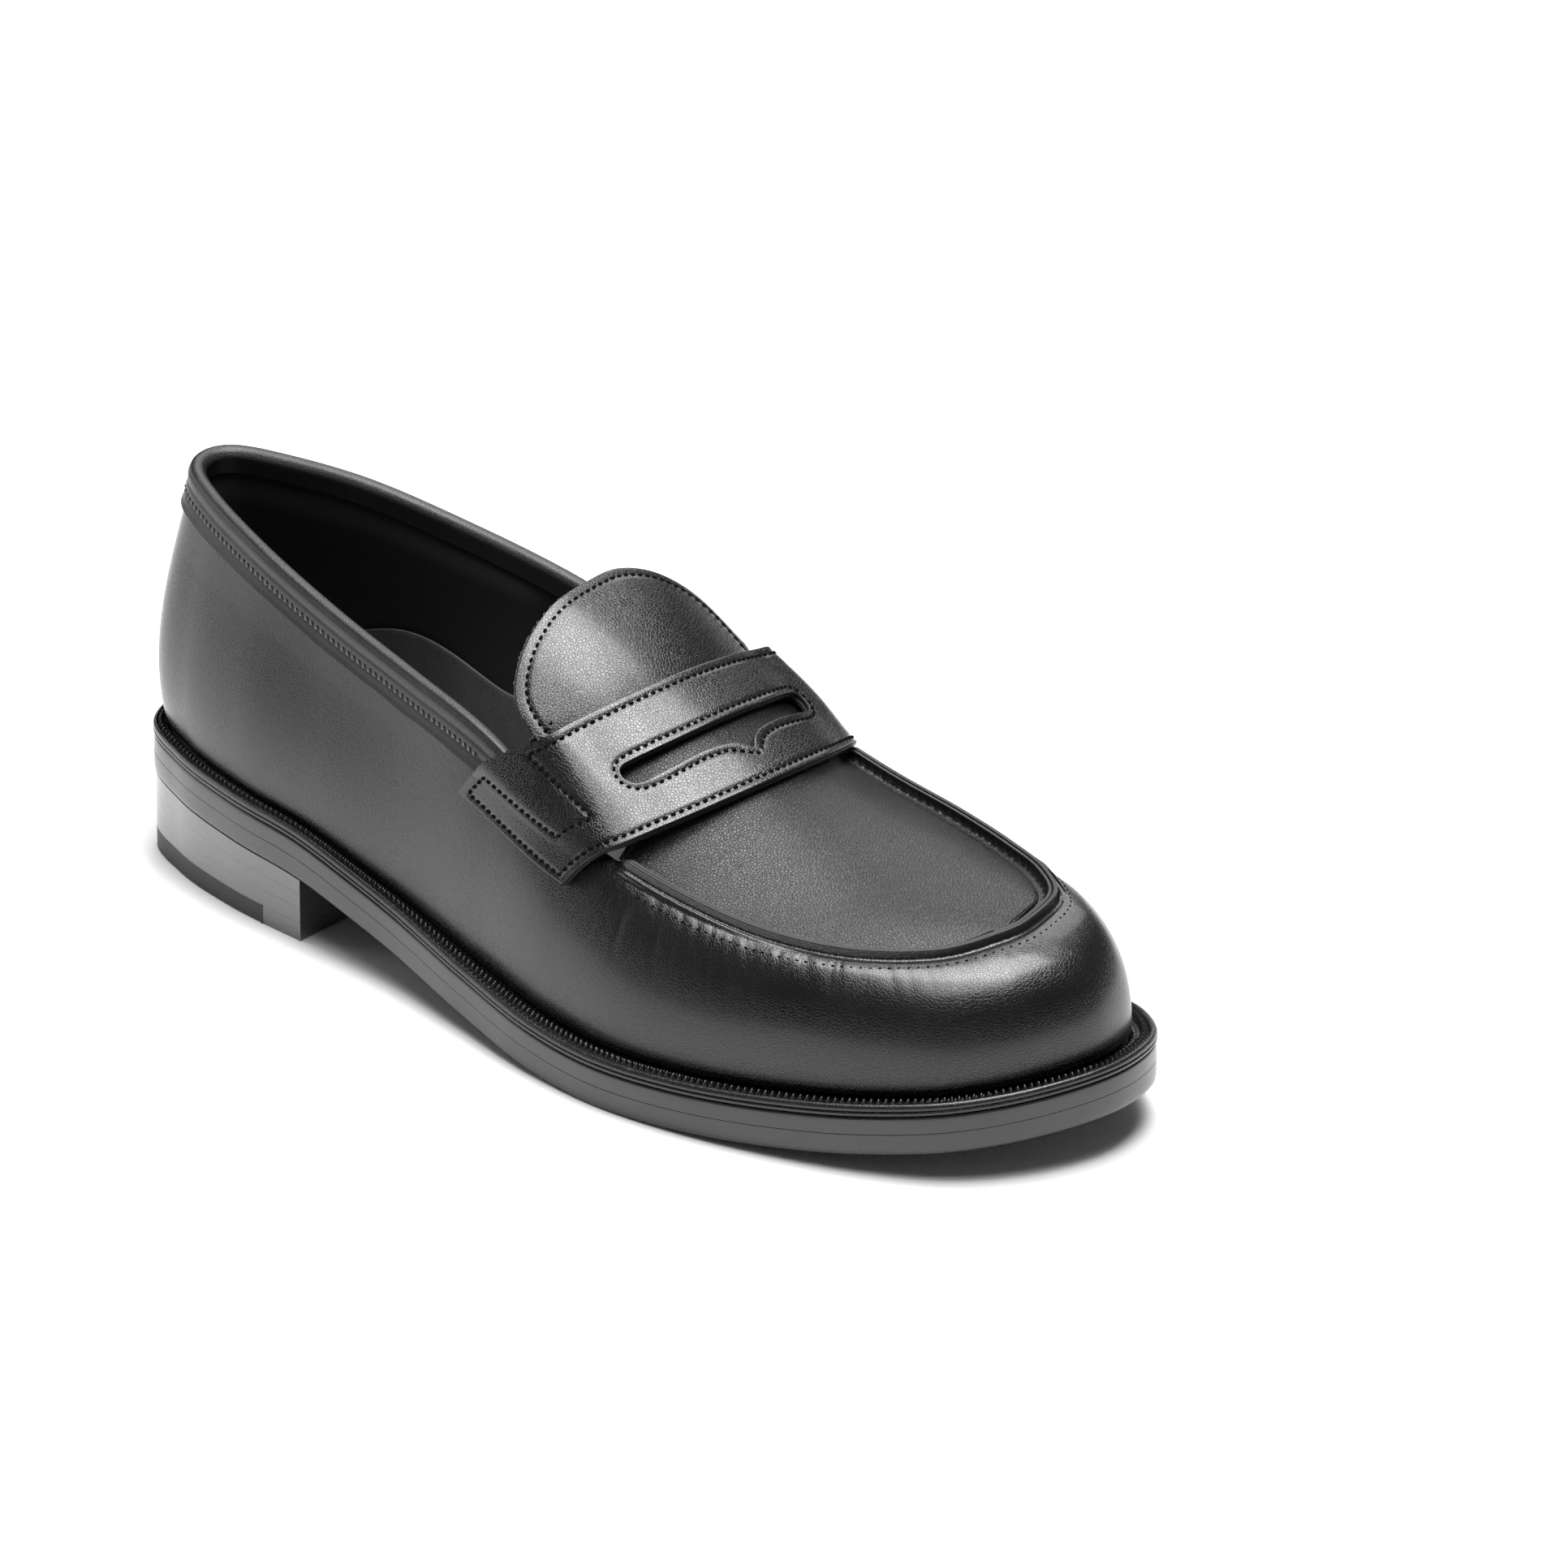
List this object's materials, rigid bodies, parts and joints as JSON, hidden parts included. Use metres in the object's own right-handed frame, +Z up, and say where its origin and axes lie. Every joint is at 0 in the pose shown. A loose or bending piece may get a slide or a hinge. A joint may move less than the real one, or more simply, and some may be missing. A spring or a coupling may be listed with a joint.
{
  "type": "penny loafer",
  "caption": "Black leather slip-on shoe for the right foot with a raised apron seam, slotted saddle strap, rounded tongue, storm welt and stacked heel.",
  "frame": {"origin": "on the floor under the middle of the shoe's bounding box", "axes": "+Z up, toe towards -Y and heel towards +Y, outer (little-toe) side towards -X and inner side towards +X"},
  "size_m": [0.1068, 0.2999, 0.0997],
  "materials": {
    "upper_leather": "satin box calf",
    "strap_leather": "polished calf",
    "binding_leather": "satin",
    "lining_leather": "matte",
    "sock_leather": "matte",
    "thread": "waxed",
    "sole_leather": "waxed edge",
    "welt_leather": "satin",
    "rubber": "matte",
    "cork": "granular",
    "board": "matte",
    "steel": "brushed",
    "foam": "matte",
    "canvas": "woven",
    "stiffener": "matte",
    "suede": "nap"
  },
  "bodies": {
    "shoe": {"outsole": "sole_leather", "midsole": "sole_leather", "welt": "welt_leather", "welt_stitching": "thread", "heel_lift_3": "sole_leather", "heel_lift_2": "sole_leather", "heel_lift_1": "sole_leather", "heel_top_piece": "sole_leather", "heel_rubber": "rubber", "heel_nail_1": "steel", "heel_nail_2": "steel", "heel_nail_3": "steel", "heel_nail_4": "steel", "cork_filler": "cork", "shank": "steel", "insole": "board", "insole_rib": "canvas", "heel_pad": "foam", "sock_liner": "sock_leather", "upper_wall": "upper_leather", "quarter_lining": "lining_leather", "vamp_lining": "lining_leather", "apron_lining": "lining_leather", "heel_counter": "stiffener", "toe_puff": "stiffener", "apron": "upper_leather", "apron_seam_stitching": "thread", "apron_gather_stitching": "thread", "topline_binding": "binding_leather", "topline_stitching": "thread", "strap": "strap_leather", "strap_backing": "suede", "strap_stitching": "thread", "slot_stitching": "thread"},
    "tongue_flap": {"tongue": "strap_leather", "tongue_lining": "suede", "tongue_stitching": "thread"}
  },
  "joints": [
    {"name": "tongue_flex", "type": "hinge", "parent": "shoe", "child": "tongue_flap", "pos_m": [0.00988, -0.01, 0.082], "axis": [0.996, -0.0888, 0], "range_deg": [-5, 35], "stiffness_Nm_per_rad": 0.3}
  ]
}
